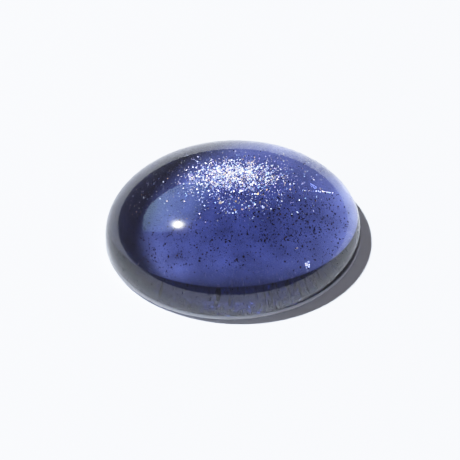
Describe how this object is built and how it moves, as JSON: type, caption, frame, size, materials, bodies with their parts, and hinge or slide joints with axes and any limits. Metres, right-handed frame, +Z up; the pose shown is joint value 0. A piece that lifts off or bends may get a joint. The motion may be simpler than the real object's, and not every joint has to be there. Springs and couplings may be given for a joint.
{
  "type": "oval cabochon gemstone",
  "caption": "Polished oval cabochon of clear violet-blue iolite with a domed top, a steep low wall and a flat base to rest on or set in a bezel.",
  "frame": {"origin": "centre of the oval base, on the surface that the stone rests on", "axes": "+X along the stone's length, +Y across its width, +Z up through the top of the dome"},
  "size_m": [0.009, 0.007, 0.0028],
  "materials": {
    "polished_iolite": "polished"
  },
  "bodies": {
    "root": {"cabochon": "polished_iolite"}
  },
  "joints": []
}
